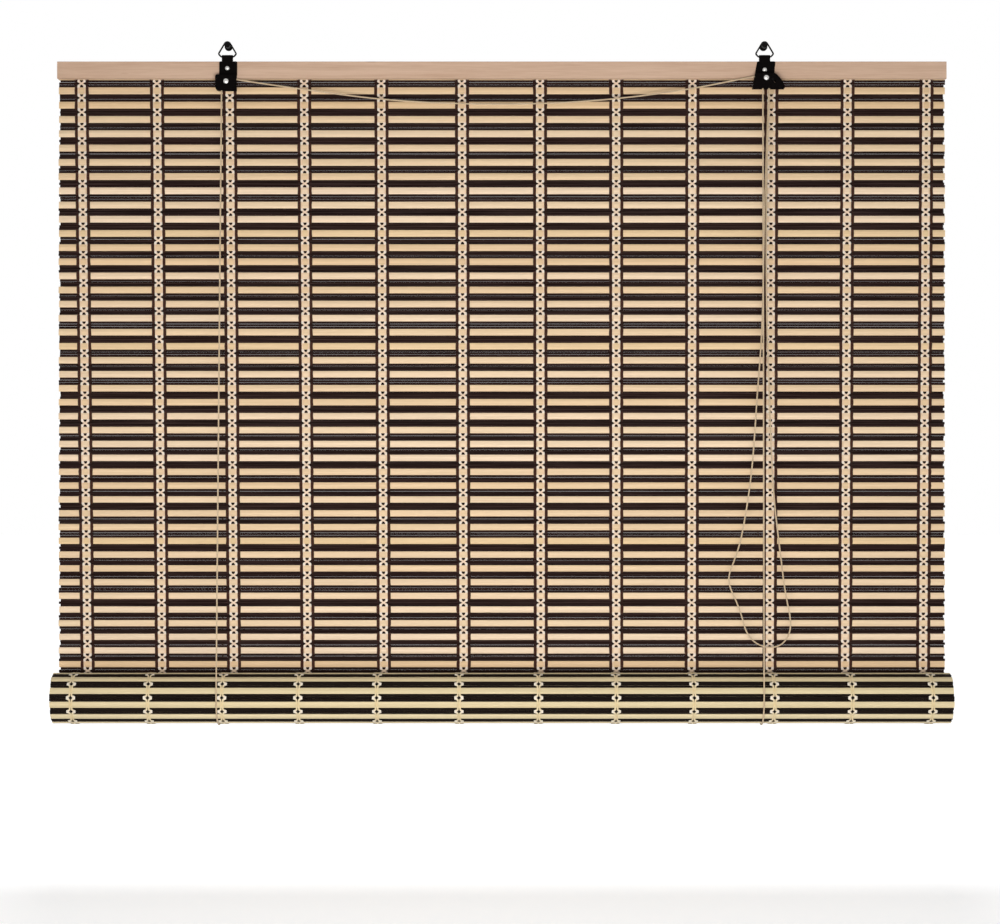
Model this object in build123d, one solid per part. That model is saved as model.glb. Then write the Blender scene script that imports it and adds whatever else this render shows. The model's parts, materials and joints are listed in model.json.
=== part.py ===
from build123d import *
import math
import os

# Bamboo roll-up blind, hung half raised from two wall hooks.
# Millimetres: +Z up, +X to the right, -Y towards a person in the room.
# The origin is in the wall's plane, midway between the two hook pegs.
# A depth is a distance in front of the wall and a drop is a distance below the pegs.

# Mat of natural slats with bands of dark sticks between them
mat_width = 1220.0
mat_offset = 8.0
mat_depth = 6.0
slat_height_top = 10.1
slat_height_bottom = 9.0
slat_thickness = 2.2
slat_edge_ease = 0.6
stick_height = 3.32
stick_thickness = 2.2
stick_edge_ease = 0.75
sticks_per_band = 3
row_bite = 0.07
hanging_rows = 44
top_slat_drop = 41.4
slit_height = 0.6
slit_end_margin = 30.0

# Columns of warp yarn: places across the mat, from its middle, as shares of its width
column_shares = [-0.474, -0.389, -0.307, -0.223, -0.136, -0.045, 0.043, 0.129, 0.215, 0.304, 0.39, 0.479]
column_draw_share = 0.012
column_draw_centre = 170.0
roll_column_spread_share = 0.0115
roll_column_drift = 5.0
yarn_thickness = 0.6
pale_yarn_width = 2.2
pale_yarn_spread = 4.6
dark_yarn_width = 3.0
dark_yarn_spread = 7.6

# Roll of mat, wound in front of the hanging part, round a wooden rod
roll_radius = 34.3
layer_pitch = 4.2
half_turns = 14
web_thickness = 1.4
roll_seam_gap = 0.3
seam_sticks = 1
rod_fit = 0.1
ringed_rows = 9

# Head rail, a wooden batten that the mat is stapled to
rail_height = 23.4
rail_thickness = 10.0
rail_top_drop = 22.6
rail_edge_radius = 0.8

# Staples behind the rail
staple_crown = 10.0
staple_wire = 0.9
staple_leg = 7.0

# Wall hooks: a screw, a collar and a lipped peg
hook_spacing = 737.0
peg_radius = 3.2
peg_reach = 20.4
lip_radius = 4.0
lip_length = 2.2
collar_radius = 5.5
collar_length = 2.0
hook_screw_radius = 2.0
hook_screw_length = 16.0
hook_screw_point = 4.0

# Triangular hanging rings
ring_wire = 2.2
ring_seat_gap = 0.05
ring_half_width = 12.3
ring_corner_drop = 12.1
ring_bar_drop = 16.0
ring_bar_half = 8.6
ring_corner_radius = 2.2

# Folded steel of both brackets
sheet = 1.2
neck_width = 15.0
fold_clearance = 0.1
fold_tail_gap = 0.6
bracket_corner_radius = 2.0

# Left bracket, with a pulley
left_plate_left = 11.0
left_plate_right = 13.6
left_housing_left = 15.8
left_housing_right = 13.2
left_housing_top_drop = 41.8
left_housing_bottom_drop = 63.6
left_housing_corner = 5.0
left_screw_drop = 32.2
pulley_shift = -1.0
pulley_drop = 50.7
pulley_width = 5.0
pulley_cord_radius = 6.4
pulley_flange_radius = 7.6
pulley_axle_radius = 2.0

# Right bracket, a cord lock with a two-groove wheel and a knurled roller
right_shoulder_left = 10.3
right_shoulder_right = 14.6
right_waist_left = 13.7
right_waist_right = 13.0
right_waist_drop = 40.4
right_foot_left = 17.4
right_foot_right = 26.4
right_foot_drop = 61.0
right_flare_right = 20.6
right_flare_drop = 47.6
right_screw_drop = 34.2
wheel_shift = 1.2
wheel_drop = 46.5
wheel_width = 8.0
wheel_groove_pitch = 3.8
wheel_cord_radius = 4.5
wheel_flange_radius = 5.5
wheel_axle_radius = 1.6
cord_notch_height = 12.0
roller_radius = 3.0
roller_pinch_gap = 0.25
roller_drop = 48.0
roller_trunnion_radius = 1.4
roller_slot_clearance = 0.06
roller_travel = 5.0
roller_slot_angle = -50.0
roller_flutes = 12
roller_flute_depth = 0.35

# Fits of the turning pieces
side_clearance = 0.4
running_clearance = 0.05
groove_clearance = 0.25

# Rivet heads and bracket screws
axle_head_radius = 3.4
axle_head_height = 1.2
screw_head_radius = 3.0
screw_head_height = 1.4
screw_shank_radius = 1.5
screw_depth = 8.0

# Cords
cord_diameter = 2.0
sling_clearance = 0.3
lead_length = 1.0
cord_joint_gap = 0.1
left_cord_lean = 0.7
right_cord_lean = 4.2
knot_radius = 2.4
knot_drop = 35.0
wrap_fill_share = 0.98
bend_fill_share = 0.45

cut_overrun = 3.0

# Sizes worked out from those above
stick_pitch = stick_height - row_bite
band_height = sticks_per_band * stick_pitch - row_bite
mean_pitch = (slat_height_top + slat_height_bottom) / 2 + band_height
roll_pitch = slat_height_bottom + band_height
mat_top_drop = top_slat_drop - slat_height_top / 2
mat_bottom_drop = top_slat_drop + hanging_rows * mean_pitch + slat_height_bottom / 2
mat_front_depth = mat_depth + slat_thickness / 2
rail_front_depth = mat_front_depth + rail_thickness
plate_front_depth = rail_front_depth + sheet
rail_bottom_drop = rail_top_drop + rail_height
cord_radius = cord_diameter / 2
left_x = -hook_spacing / 2
right_x = hook_spacing / 2
fold_inner_radius = ring_wire / 2 + fold_clearance
ring_depth = plate_front_depth - sheet - fold_inner_radius
left_gap = pulley_width + 2 * side_clearance
right_gap = wheel_width + 2 * side_clearance
left_front_depth = plate_front_depth + left_gap + sheet
right_front_depth = plate_front_depth + right_gap + sheet
pulley_x = left_x + pulley_shift
pulley_depth = plate_front_depth + left_gap / 2
wheel_x = right_x + wheel_shift
wheel_depth = plate_front_depth + right_gap / 2
inner_groove_depth = wheel_depth - wheel_groove_pitch / 2
outer_groove_depth = wheel_depth + wheel_groove_pitch / 2
roller_x = wheel_x + wheel_cord_radius + cord_radius + roller_pinch_gap + roller_radius
roll_depth = mat_depth + roll_radius
roll_drop = mat_bottom_drop + roll_seam_gap
slat_corner_radius = math.hypot(roll_radius + slat_thickness / 2, slat_height_bottom / 2)
sling_radius = slat_corner_radius + sling_clearance + cord_radius
rear_cord_depth = roll_depth - sling_radius
left_cord_x = pulley_x - pulley_cord_radius
right_cord_x = wheel_x - wheel_cord_radius
pull_cord_x = wheel_x + wheel_cord_radius
left_sling_x = left_cord_x - left_cord_lean
right_sling_x = right_cord_x - right_cord_lean
left_lead_drop = pulley_drop + lead_length + cord_joint_gap
right_lead_drop = wheel_drop + lead_length + cord_joint_gap

# Route of the sagging cross cord from the left pulley to the cord lock.
# Places across are shares of the hooks' spacing, and heights are drops below the pegs.
cross_place_shares = [
    -0.485, -0.415, -0.345, -0.28, -0.215, -0.14, -0.065, 0.01, 0.085, 0.155, 0.222, 0.296, 0.366, 0.423, 0.475,
]
cross_drops = [
    48.0, 55.6, 62.8, 69.4, 75.0, 79.0, 81.2, 81.9, 81.0, 78.4, 74.4, 68.0, 60.2, 52.2, 44.2,
]

# Route of the pull cord's loop, as x and z: down its left strand and up its right one
pull_route = [
    (373.6, -72.0), (371.8, -112.0), (369.8, -162.0), (368.2, -218.0), (367.0, -274.0),
    (366.2, -330.0), (364.6, -384.0), (361.8, -432.0), (357.6, -482.0), (354.2, -538.0),
    (350.0, -588.0), (343.6, -634.0), (335.4, -680.0), (326.0, -708.0), (318.6, -726.0),
    (319.4, -742.0), (328.0, -760.0), (336.4, -782.0), (341.8, -804.0), (354.0, -820.0),
    (373.0, -827.0), (391.6, -823.0), (402.6, -807.0), (403.6, -787.0), (398.2, -762.0),
    (393.6, -734.0), (389.6, -700.0), (384.6, -660.0), (380.0, -616.0), (377.4, -568.0),
    (375.2, -518.0), (373.8, -468.0), (371.8, -418.0), (370.6, -366.0), (370.0, -310.0),
    (369.8, -254.0), (370.4, -198.0), (371.4, -146.0), (373.0, -100.0), (373.8, -66.0),
]


def prism(sketch, near_depth, far_depth):
    """A front-view outline made solid between two depths in front of the wall."""
    return extrude(Plane.XZ.offset(near_depth) * sketch, amount=far_depth - near_depth)


def round_bar(radius, near_depth, far_depth, x, z):
    """A cylinder that points into the room."""
    return prism(Pos(x, z) * Circle(radius), near_depth, far_depth)


def long_bar(section, width):
    """A cross section, in depth and height, made solid along the width of the mat."""
    return Pos(mat_offset, 0, 0) * extrude(Plane.YZ * section, amount=width / 2, both=True)


def eased_bar(thickness, height, ease):
    outline = Rectangle(thickness, height)
    return chamfer(outline.vertices(), ease)


def slat_section(height):
    return eased_bar(slat_thickness, height, slat_edge_ease)


def stick_section():
    return eased_bar(stick_thickness, stick_height, stick_edge_ease)


def slat_height(row):
    """The slats get a little narrower from the head rail down."""
    return slat_height_top + (slat_height_bottom - slat_height_top) * row / hanging_rows


def slat_z(row):
    drop = top_slat_drop
    for above in range(row):
        drop += (slat_height(above) + slat_height(above + 1)) / 2 + band_height
    return -drop


def stick_run(stick):
    """Distance from a slat's lower edge to the middle of one of the sticks below it."""
    return stick_height / 2 - row_bite + stick * stick_pitch


def column_top(column):
    return mat_offset + column_shares[column] * mat_width


def column_foot(column):
    """The columns draw together a little on their way down."""
    top = column_top(column)
    return top - column_draw_share * (top - column_draw_centre)


def column_x(column, drop):
    """Sideways place of a warp column, which leans a little, at a given drop."""
    share = (drop - rail_bottom_drop) / (mat_bottom_drop - rail_bottom_drop)
    return column_top(column) + share * (column_foot(column) - column_top(column))


def roll_column(column):
    """On the roll, the columns lie further left and a little further apart."""
    return column_foot(column) * (1 + roll_column_spread_share) - roll_column_drift


def make_head_rail():
    depth = mat_front_depth + rail_thickness / 2
    section = Pos(-depth, -rail_top_drop - rail_height / 2) * RectangleRounded(
        rail_thickness, rail_height, rail_edge_radius
    )
    rail = long_bar(section, mat_width)
    for x, drop in ((left_x, left_screw_drop), (right_x, right_screw_drop)):
        rail -= round_bar(screw_shank_radius, rail_front_depth - screw_depth, rail_front_depth, x, -drop)
    return rail


def make_hanging_mat():
    """Slats and sticks that press together into one wall, with light slits between the sticks."""
    rows = []
    slits = []
    slit_length = mat_width - 2 * slit_end_margin
    for row in range(hanging_rows + 1):
        rows.append(Pos(-mat_depth, slat_z(row)) * slat_section(slat_height(row)))
        if row == hanging_rows:
            break
        edge = slat_z(row) - slat_height(row) / 2
        for stick in range(sticks_per_band):
            rows.append(Pos(-mat_depth, edge - stick_run(stick)) * stick_section())
        for stick in range(1, sticks_per_band):
            z = edge - (stick_run(stick) + stick_run(stick - 1)) / 2
            slits.append(Pos(mat_offset, -mat_depth, z) * Box(slit_length, slat_thickness + cut_overrun, slit_height))
    return long_bar(Sketch() + rows, mat_width) - slits


def yarn_ribbon(column, aside, width, near_depth, top_drop):
    """One yarn of a column, a flat strip from a given drop to the lower edge of the hanging mat."""
    top = column_x(column, top_drop) + aside
    foot = column_x(column, mat_bottom_drop) + aside
    outline = Polyline(
        (top - width / 2, -top_drop),
        (top + width / 2, -top_drop),
        (foot + width / 2, -mat_bottom_drop),
        (foot - width / 2, -mat_bottom_drop),
        close=True,
    )
    return prism(make_face(outline), near_depth, near_depth + yarn_thickness)


def make_pale_warp(column):
    back_depth = mat_depth - slat_thickness / 2 - yarn_thickness
    ribbons = []
    for aside in (-pale_yarn_spread, pale_yarn_spread):
        ribbons.append(yarn_ribbon(column, aside, pale_yarn_width, mat_front_depth, rail_bottom_drop))
        ribbons.append(yarn_ribbon(column, aside, pale_yarn_width, back_depth, mat_top_drop))
    return Compound(children=ribbons)


def make_dark_warp(column):
    ribbons = []
    for aside in (-dark_yarn_spread, dark_yarn_spread):
        ribbons.append(yarn_ribbon(column, aside, dark_yarn_width, mat_front_depth, rail_bottom_drop))
    return Compound(children=ribbons)


def turn_radius(half_turn):
    return roll_radius - half_turn * layer_pitch / 2


def turn_centre(half_turn):
    """The winding is half circles whose centres change sides at each half turn."""
    return -layer_pitch / 2 * (half_turn % 2)


def roll_place(run):
    """Place on the winding's mid line after this run of mat, counted from the seam at the rear."""
    half_turn = 0
    while run > math.pi * turn_radius(half_turn):
        run -= math.pi * turn_radius(half_turn)
        half_turn += 1
    angle = -math.degrees(run / turn_radius(half_turn)) - 180 * half_turn
    return Pos(turn_centre(half_turn), 0) * Rot(0, 0, angle) * Pos(turn_radius(half_turn), 0)


def winding_face():
    """The bare spiral of the wound mat."""
    edges = []
    for side in (1, -1):
        for half_turn in range(half_turns):
            radius = turn_radius(half_turn) + side * web_thickness / 2
            edges.append(CenterArc((turn_centre(half_turn), 0), radius, 180 * (half_turn % 2), -180))
    last = half_turns - 1
    end_side = 1 if half_turns % 2 == 0 else -1
    end_middle = turn_centre(last) + end_side * turn_radius(last)
    for middle in (roll_radius, end_middle):
        edges.append(Line((middle - web_thickness / 2, 0), (middle + web_thickness / 2, 0)))
    return make_face(edges)


def slat_run(row):
    """Run of mat from the seam to the middle of a slat on the roll; the band at the seam is short."""
    return seam_sticks * stick_pitch - row_bite + slat_height_bottom / 2 + row * roll_pitch


def outer_turn_rows():
    """Slats and sticks on the outermost turn of the winding."""
    rows = []
    outer_turn = math.pi * (turn_radius(0) + turn_radius(1))
    row = 0
    while slat_run(row) + slat_height_bottom / 2 < outer_turn:
        sticks = sticks_per_band if row else seam_sticks
        band_start = slat_run(row) - slat_height_bottom / 2 - sticks * stick_pitch + row_bite
        for stick in range(sticks):
            rows.append(roll_place(band_start + stick_run(stick) + row_bite) * stick_section())
        rows.append(roll_place(slat_run(row)) * slat_section(slat_height_bottom))
        row += 1
    return rows


def make_rolled_mat():
    section = Sketch() + [winding_face()] + outer_turn_rows()
    return long_bar(Pos(-roll_depth, -roll_drop) * section, mat_width)


def crossing(first, second):
    """Point where the faces of two neighbouring slats, drawn on, would meet."""
    gap = second.position - first.position
    along = first.y_axis.direction
    across = second.y_axis.direction
    share = (gap.X * across.Y - gap.Y * across.X) / (along.X * across.Y - along.Y * across.X)
    return first.position + along * share


def make_roll_warp_yarns():
    """Pale yarn over the outermost turn, bending once between neighbouring slats."""
    inner = []
    outer = []
    for layer, points in ((0, inner), (yarn_thickness, outer)):
        face = Pos(slat_thickness / 2 + layer, 0)
        slats = [roll_place(slat_run(row)) * face for row in range(ringed_rows + 1)]
        points.append((slats[0] * Pos(0, slat_height_bottom / 2)).position)
        for first, second in zip(slats, slats[1:]):
            points.append(crossing(first, second))
    band = make_face(Polyline(*inner, *reversed(outer), close=True))
    rings = []
    for column in range(len(column_shares)):
        for aside in (-pale_yarn_spread, pale_yarn_spread):
            x = roll_column(column) + aside - pale_yarn_width / 2
            placed = Plane.YZ.offset(x) * (Pos(-roll_depth, -roll_drop) * band)
            rings.append(extrude(placed, amount=pale_yarn_width))
    return Compound(children=rings)


def make_bottom_rod():
    last = half_turns - 1
    radius = turn_radius(last) - web_thickness / 2 - rod_fit
    section = Pos(turn_centre(last) - roll_depth, -roll_drop) * Circle(radius)
    return long_bar(section, mat_width)


def make_staple(x, z, crown, crown_depth, leg):
    """A wire staple driven towards the room, with its crown at this depth."""
    body = Box(crown, staple_wire, staple_wire)
    for side in (-1, 1):
        leg_x = side * (crown - staple_wire) / 2
        body += Pos(leg_x, -leg / 2, 0) * Box(staple_wire, leg, staple_wire)
    return Pos(x, -crown_depth + staple_wire / 2, z) * body


def make_mat_staples():
    back_depth = mat_depth - slat_thickness / 2
    staples = []
    for column in range(len(column_shares) - 1):
        x = (column_top(column) + column_top(column + 1)) / 2
        staples.append(make_staple(x, -top_slat_drop, staple_crown, back_depth, staple_leg))
    cord_crown = cord_diameter + 2 * staple_wire
    cord_back = rear_cord_depth - cord_radius
    for x in (left_sling_x, right_sling_x):
        staples.append(make_staple(x, -top_slat_drop, cord_crown, cord_back, staple_leg + cord_diameter))
    return Compound(children=staples)


def make_hook(x):
    """A screw hook turned from bar: point, shank, collar, peg and lip."""
    tip = hook_screw_length + hook_screw_point
    lip_start = peg_reach - lip_length
    profile = Polyline(
        (0, tip),
        (hook_screw_radius, hook_screw_length),
        (hook_screw_radius, 0),
        (collar_radius, 0),
        (collar_radius, -collar_length),
        (peg_radius, -collar_length),
        (peg_radius, -lip_start),
        (lip_radius, -lip_start),
        (lip_radius, -peg_reach + lip_length / 2),
        (peg_radius, -peg_reach),
        (0, -peg_reach),
        close=True,
    )
    return Pos(x, 0, 0) * revolve(make_face(profile), Axis.Y)


def make_ring(x):
    """A wire ring that hangs on its peg, with a bar along the bottom."""
    apex_radius = peg_radius + ring_seat_gap + ring_wire / 2
    reach = math.hypot(ring_half_width, ring_corner_drop)
    lean = math.atan2(ring_half_width, ring_corner_drop) - math.asin(apex_radius / reach)
    apex_z = ring_half_width / math.tan(lean) - ring_corner_drop
    points = [
        (0, apex_z),
        (ring_half_width, -ring_corner_drop),
        (ring_bar_half, -ring_bar_drop),
        (0, -ring_bar_drop),
    ]
    half = FilletPolyline(*points, radius=[ring_corner_radius, ring_corner_radius])
    side_start = Vector(apex_radius * math.cos(lean), apex_radius * math.sin(lean))
    half = Wire([Line(side_start, half.edges()[0] @ 1)] + list(half.edges()[1:]))
    arc = CenterArc((0, 0), apex_radius, math.degrees(lean), 90 - math.degrees(lean))
    path = Plane.XZ.offset(ring_depth) * Wire([arc] + list(half.edges()))
    start = path @ 0
    profile = Plane(origin=start, z_dir=path % 0) * Circle(ring_wire / 2)
    side = sweep(profile, path=path)
    return Pos(x, 0, 0) * (side + mirror(side, about=Plane.YZ))


def make_neck():
    """The strip that stands up from a plate and folds back over a ring's bar."""
    outer = fold_inner_radius + sheet
    top = Circle(outer) - Circle(fold_inner_radius)
    top &= Pos(0, outer / 2) * Rectangle(2 * outer, outer)
    middle = fold_inner_radius + sheet / 2
    front_leg = rail_top_drop - ring_bar_drop
    tail = front_leg - fold_tail_gap
    section = top + [
        Pos(-middle, -front_leg / 2) * Rectangle(sheet, front_leg),
        Pos(middle, -tail / 2) * Rectangle(sheet, tail),
    ]
    section = Pos(-ring_depth, -ring_bar_drop) * section
    return extrude(Plane.YZ * section, amount=neck_width / 2, both=True)


def housing(outline, gap):
    """Back plate, side wall and front wall folded from one sheet, open on the right and below."""
    front_depth = plate_front_depth + gap + sheet
    block = prism(outline, rail_front_depth, front_depth)
    return block - prism(Pos(sheet, 0) * outline, plate_front_depth, plate_front_depth + gap)


def left_lower_outline():
    width = left_housing_left + left_housing_right
    height = left_housing_bottom_drop - left_housing_top_drop
    x = (left_housing_right - left_housing_left) / 2
    z = -(left_housing_bottom_drop + left_housing_top_drop) / 2
    outline = Pos(x, z) * Rectangle(width, height)
    left_corners = outline.vertices().group_by(Axis.X)[0].sort_by(Axis.Y)
    outline = fillet(left_corners[0], left_housing_corner)
    upper = outline.vertices().sort_by(Axis.Y)[-2:].sort_by(Axis.X)[0]
    return fillet(upper, bracket_corner_radius)


def left_upper_outline():
    width = left_plate_left + left_plate_right
    height = left_housing_top_drop - rail_top_drop
    x = (left_plate_right - left_plate_left) / 2
    z = -rail_top_drop - height / 2
    outline = Pos(x, z) * Rectangle(width, height)
    return fillet(outline.vertices().group_by(Axis.Y)[-1], bracket_corner_radius)


def right_lower_outline():
    """The bell-shaped lower half of the cord lock."""
    left = Polyline(
        (right_waist_right, -right_waist_drop),
        (-right_waist_left, -right_waist_drop),
        (-right_foot_left, -right_foot_drop),
        (right_foot_right, -right_foot_drop),
    )
    flare = ThreePointArc(
        (right_foot_right, -right_foot_drop),
        (right_flare_right, -right_flare_drop),
        (right_waist_right, -right_waist_drop),
    )
    return make_face(list(left.edges()) + [flare])


def right_upper_outline():
    outline = make_face(
        Polyline(
            (right_waist_right, -right_waist_drop),
            (right_shoulder_right, -rail_top_drop),
            (-right_shoulder_left, -rail_top_drop),
            (-right_waist_left, -right_waist_drop),
            close=True,
        )
    )
    return fillet(outline.vertices().group_by(Axis.Y)[-1], bracket_corner_radius)


def make_left_bracket():
    bracket = housing(left_lower_outline(), left_gap)
    bracket += prism(left_upper_outline(), rail_front_depth, plate_front_depth)
    bracket += make_neck()
    far = left_front_depth + cut_overrun
    bracket -= round_bar(pulley_axle_radius, mat_depth, far, pulley_shift, -pulley_drop)
    bracket -= round_bar(screw_shank_radius, mat_depth, far, 0, -left_screw_drop)
    return Pos(left_x, 0, 0) * bracket


def roller_slot():
    """Slanted slot for the roller's trunnions, from the locked to the released place."""
    radius = roller_trunnion_radius + roller_slot_clearance
    slot = Rot(0, 0, roller_slot_angle) * (Pos(roller_travel / 2, 0) * SlotCenterToCenter(roller_travel, 2 * radius))
    return Pos(roller_x - right_x, -roller_drop) * slot


def make_right_bracket():
    bracket = housing(right_lower_outline(), right_gap)
    bracket += prism(right_upper_outline(), rail_front_depth, plate_front_depth)
    bracket += make_neck()
    far = right_front_depth + cut_overrun
    bracket -= round_bar(wheel_axle_radius, mat_depth, far, wheel_shift, -wheel_drop)
    bracket -= round_bar(screw_shank_radius, mat_depth, far, 0, -right_screw_drop)
    bracket -= prism(roller_slot(), mat_depth, far)
    notch = Pos(-right_foot_left, -right_waist_drop) * Rectangle(right_foot_left, cord_notch_height)
    bracket -= prism(notch, plate_front_depth, plate_front_depth + right_gap)
    return Pos(right_x, 0, 0) * bracket


def grooved_wheel(flange_radius, width, cord_line_radius, groove_depths, axle_radius):
    """A wheel about the depth axis, at its middle, with a round-bottomed groove for each cord."""
    wheel = Cylinder(flange_radius, width, rotation=(90, 0, 0))
    wheel -= Cylinder(axle_radius + running_clearance, width + cut_overrun, rotation=(90, 0, 0))
    groove_radius = cord_radius + groove_clearance
    mouth = flange_radius - cord_line_radius + cut_overrun
    for depth in groove_depths:
        groove = Pos(cord_line_radius, depth) * Circle(groove_radius)
        groove += Pos(cord_line_radius + mouth / 2, depth) * Rectangle(mouth, 2 * groove_radius)
        wheel -= revolve(groove, Axis.Y)
    return wheel


def make_left_pulley():
    wheel = grooved_wheel(pulley_flange_radius, pulley_width, pulley_cord_radius, [0], pulley_axle_radius)
    return Pos(pulley_x, -pulley_depth, -pulley_drop) * wheel


def make_lock_wheel():
    offsets = [-wheel_groove_pitch / 2, wheel_groove_pitch / 2]
    wheel = grooved_wheel(wheel_flange_radius, wheel_width, wheel_cord_radius, offsets, wheel_axle_radius)
    return Pos(wheel_x, -wheel_depth, -wheel_drop) * wheel


def make_axle(radius, front_depth, x, z):
    """A rivet that fills the holes of both walls, with a domed head in front."""
    shank = round_bar(radius, rail_front_depth, front_depth, x, z)
    return shank + domed_head(axle_head_radius, axle_head_height, front_depth, x, z)


def domed_head(radius, height, depth, x, z):
    """A shallow round head that stands out from a face."""
    ball_radius = (radius ** 2 + height ** 2) / (2 * height)
    ball = Pos(x, -depth - height + ball_radius, z) * Sphere(ball_radius)
    return ball & round_bar(radius, depth, depth + height, x, z)


def make_lock_roller():
    """A fluted roller with a trunnion in the slot of each wall."""
    outline = Circle(roller_radius)
    for flute in range(roller_flutes):
        angle = flute * 360 / roller_flutes
        outline -= Rot(0, 0, angle) * (Pos(roller_radius, 0) * Circle(roller_flute_depth))
    near = plate_front_depth + side_clearance
    drum = prism(outline, near, near + wheel_width)
    drum += round_bar(roller_trunnion_radius, rail_front_depth, right_front_depth, 0, 0)
    return Pos(roller_x, 0, -roller_drop) * drum


def make_bracket_screws():
    screws = []
    for x, drop in ((left_x, left_screw_drop), (right_x, right_screw_drop)):
        screw = round_bar(screw_shank_radius, rail_front_depth - screw_depth, plate_front_depth, x, -drop)
        screws.append(screw + domed_head(screw_head_radius, screw_head_height, plate_front_depth, x, -drop))
    return Compound(children=screws)


def tube(path, name):
    """A round cord along a path; its volume is compared with section times length."""
    start = path @ 0
    section = Plane(origin=start, z_dir=path % 0) * Circle(cord_radius)
    solid = sweep(section, path=path)
    expected = math.pi * cord_radius ** 2 * path.length
    print(name, "length", round(path.length, 1), "volume share", round(solid.volume / expected, 4))
    return solid


def bend_radii(points, name):
    """The largest arc that the two runs at each corner leave room for."""
    radii = []
    for before, corner, after in zip(points, points[1:], points[2:]):
        first = Vector(corner) - Vector(before)
        second = Vector(after) - Vector(corner)
        half_turn = math.radians(first.get_angle(second)) / 2
        radii.append(bend_fill_share * min(first.length, second.length) / math.tan(half_turn))
    print(name, "radii", [round(radius) for radius in radii])
    return radii


def wrap_corners(x, z, radius, from_angle, to_angle, count):
    """Corners of a route that goes round a wheel in equal turns."""
    turn = (to_angle - from_angle) / count
    reach = radius / math.cos(math.radians(turn / 2))
    corners = []
    for number in range(count):
        angle = math.radians(from_angle + (number + 1 / 2) * turn)
        corners.append((x + reach * math.cos(angle), z + reach * math.sin(angle)))
    return corners


def tangent_angle(x, z, radius, point, side):
    """Angle at which a straight cord from a point touches a wheel, on one side of it."""
    distance = math.hypot(point[0] - x, point[1] - z)
    heading = math.atan2(point[1] - z, point[0] - x)
    return math.degrees(heading + side * math.acos(radius / distance))


def make_cross_cord():
    """Over the left pulley, sagging across the mat and over the wheel of the cord lock."""
    pulley = (pulley_x, -pulley_drop, pulley_cord_radius)
    wheel = (wheel_x, -wheel_drop, wheel_cord_radius)
    cross_route = [(share * hook_spacing, -drop) for share, drop in zip(cross_place_shares, cross_drops)]
    leave = tangent_angle(*pulley, cross_route[0], 1)
    arrive = tangent_angle(*wheel, cross_route[-1], -1)
    first_wrap = wrap_corners(*pulley, 180, leave, 2)
    last_wrap = wrap_corners(*wheel, arrive, 0, 2)
    flat = [(left_cord_x, -pulley_drop - lead_length)] + first_wrap + cross_route + last_wrap
    flat.append((pull_cord_x, -wheel_drop - lead_length))
    depth_step = (inner_groove_depth - pulley_depth) / (right_x - left_x)
    points = [(x, -pulley_depth - (x - left_x) * depth_step, z) for x, z in flat]
    radii = bend_radii(points, "cross_cord")
    radii[:2] = [pulley_cord_radius * wrap_fill_share] * 2
    radii[-2:] = [wheel_cord_radius * wrap_fill_share] * 2
    return tube(FilletPolyline(*points, radius=radii), "cross_cord")


def make_lock_cord_turn():
    """The right lift cord's turn over the wheel of the cord lock."""
    z = -wheel_drop - lead_length
    corners = wrap_corners(wheel_x, -wheel_drop, wheel_cord_radius, 180, 0, 3)
    flat = [(right_cord_x, z)] + corners + [(pull_cord_x, z)]
    points = [(x, -outer_groove_depth, height) for x, height in flat]
    radii = [wheel_cord_radius * wrap_fill_share] * len(corners)
    return tube(FilletPolyline(*points, radius=radii), "lock_cord_turn")


def make_pull_cord():
    """The loop that hangs from the cord lock, from its inner groove round to its outer one."""
    z = -right_lead_drop
    flat = [(pull_cord_x, z)] + pull_route + [(pull_cord_x, z)]
    step = (outer_groove_depth - inner_groove_depth) / (len(flat) - 1)
    points = [(x, -inner_groove_depth - number * step, height) for number, (x, height) in enumerate(flat)]
    return tube(FilletPolyline(*points, radius=bend_radii(points, "pull_cord")), "pull_cord")


def front_touch(depth, drop):
    """Angle on the sling's circle where a taut cord from a bracket meets the roll's front."""
    return tangent_angle(-roll_depth, -roll_drop, sling_radius, (-depth, -drop), 1)


def make_lift_cord(x, foot_x, depth, drop, name):
    """The taut run from a bracket down to the front of the roll."""
    angle = math.radians(front_touch(depth, drop))
    foot = (foot_x, -roll_depth + sling_radius * math.cos(angle), -roll_drop + sling_radius * math.sin(angle))
    return tube(Wire([Edge.make_line((x, -depth, -drop), foot)]), name)


def make_sling(x, depth, drop, name):
    """The stretch of lift cord that goes under the roll, from its front to behind the mat."""
    angle = front_touch(depth, drop)
    arc = CenterArc((-roll_depth, -roll_drop), sling_radius, angle, 360 - angle)
    return tube(Wire([Plane.YZ.offset(x) * arc]), name)


def make_rear_cord(x, name):
    """The taut run behind the mat, up to the knot above its staple."""
    top = (x, -rear_cord_depth, -knot_drop)
    return tube(Wire([Edge.make_line((x, -rear_cord_depth, -roll_drop), top)]), name)


def make_rear_knots():
    """Round knots with a flat seat on the ends of the rear cord runs."""
    knots = []
    for x in (left_sling_x, right_sling_x):
        ball = Pos(0, 0, math.sqrt(knot_radius ** 2 - cord_radius ** 2)) * Sphere(knot_radius)
        ball -= Pos(0, 0, -knot_radius / 2) * Box(2 * knot_radius, 2 * knot_radius, knot_radius)
        knots.append(Pos(x, -rear_cord_depth, -knot_drop) * ball)
    return Compound(children=knots)


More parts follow.
